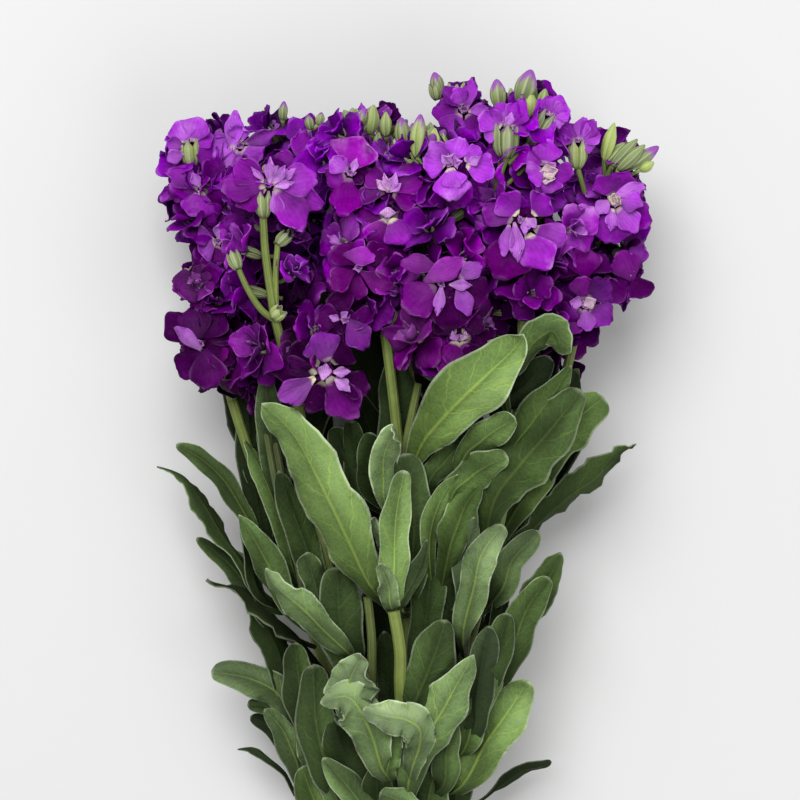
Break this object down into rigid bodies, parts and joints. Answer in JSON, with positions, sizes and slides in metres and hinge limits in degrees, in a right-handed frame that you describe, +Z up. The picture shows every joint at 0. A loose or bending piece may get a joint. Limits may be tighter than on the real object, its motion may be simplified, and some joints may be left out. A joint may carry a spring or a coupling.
{
  "type": "bouquet of stock flower stems",
  "caption": "Tied bunch of leafy stock stems with double purple flower heads, lying on its side.",
  "frame": {"origin": "on the surface, under the middle of the bunch's box", "axes": "+Y along the bunch from the cut ends to the flowers, +Z up from the surface it lies on, +X to the right as the flowers are seen from above with their tips away from the viewer"},
  "size_m": [0.2508, 0.5422, 0.1213],
  "materials": {
    "foliage": "matte downy grey-green leaf and stem",
    "petals": "soft matte violet petal",
    "buds": "matte ribbed pale green bud",
    "tie_band": "matte tan rubber band"
  },
  "bodies": {
    "root": {"tie": "tie_band", "stem_a": "foliage", "stem_b": "foliage", "stem_c": "foliage", "stem_d": "foliage", "stem_e": "foliage", "stem_f": "foliage", "stem_g": "foliage", "stem_h": "foliage", "stem_i": "foliage", "stem_j": "foliage", "head_a": "petals", "head_b": "petals", "head_c": "petals", "head_d": "petals", "head_e": "petals", "head_f": "petals", "head_g": "petals", "head_h": "petals", "head_i": "petals", "head_j": "petals", "buds_a": "buds", "buds_b": "buds", "buds_c": "buds", "buds_d": "buds", "buds_e": "buds", "buds_f": "buds", "buds_g": "buds", "buds_h": "buds", "buds_i": "buds", "buds_j": "buds"}
  },
  "joints": []
}
